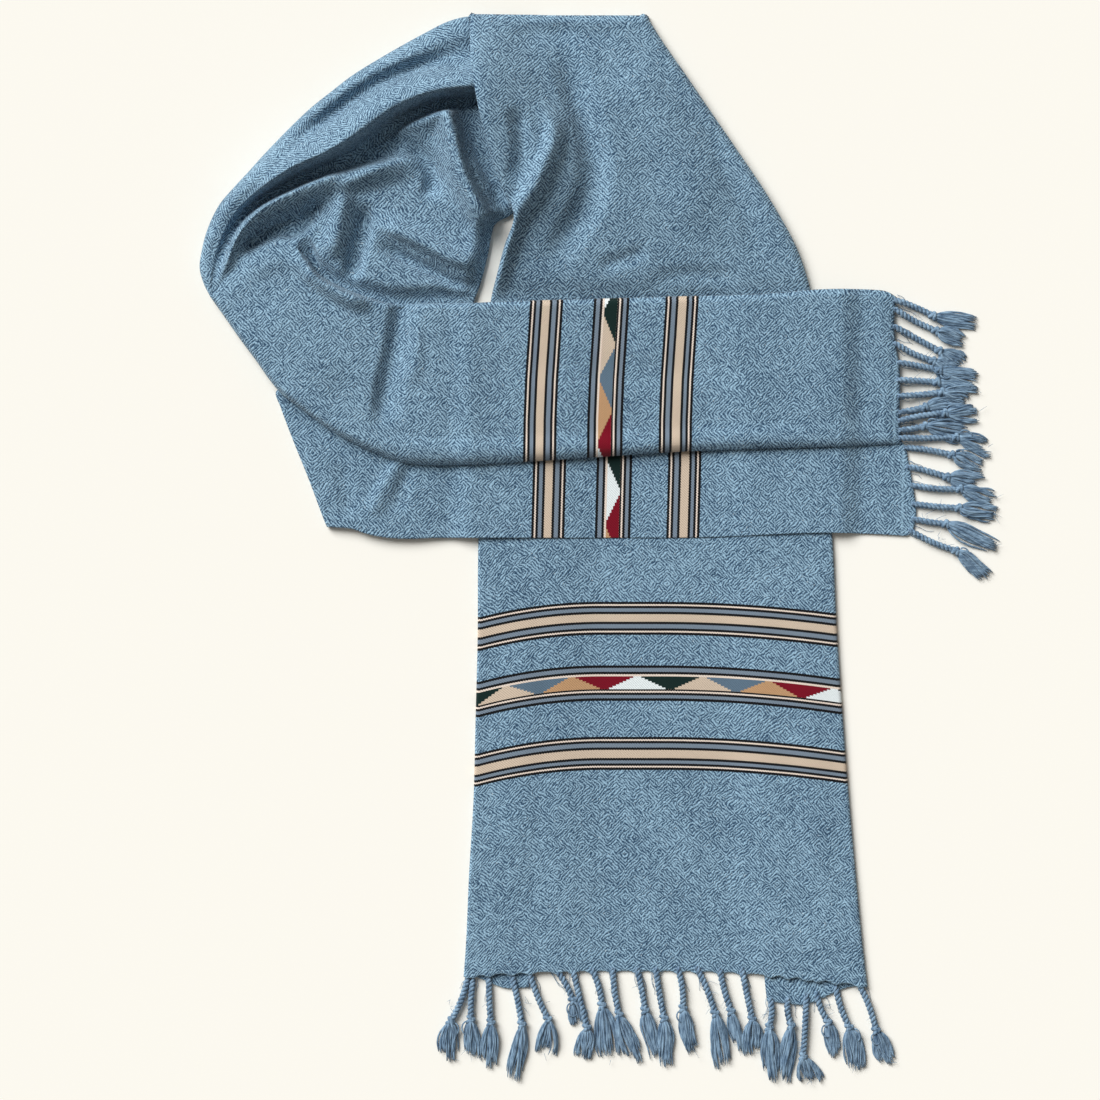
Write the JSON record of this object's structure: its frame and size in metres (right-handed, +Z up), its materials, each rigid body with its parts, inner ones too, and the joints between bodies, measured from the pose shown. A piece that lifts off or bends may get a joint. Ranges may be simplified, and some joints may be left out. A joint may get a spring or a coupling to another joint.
{
  "type": "wool muffler",
  "caption": "Blue hand-woven wool muffler with banded ends and knotted fringes, laid flat in a loop with one end across its own tail.",
  "frame": {"origin": "on the surface it lies on, under the middle of its outline", "axes": "+Z up out of the surface, +Y from the fringed tail to the neck loop, +X to the other fringed end"},
  "size_m": [0.5129, 0.6827, 0.0347],
  "materials": {
    "wool_twill": "fulled wool in a broken diamond twill, matte, with a soft nap",
    "fringe_yarn": "twisted wool yarn, matte and hairy"
  },
  "bodies": {
    "root": {"lower_tail": "wool_twill", "neck_panel": "wool_twill", "loop_roll": "wool_twill", "loop_drape": "wool_twill", "cross_under": "wool_twill", "cross_top": "wool_twill", "fringe_lower": "fringe_yarn", "fringe_cross_top": "fringe_yarn", "fringe_cross_under": "fringe_yarn"}
  },
  "joints": []
}
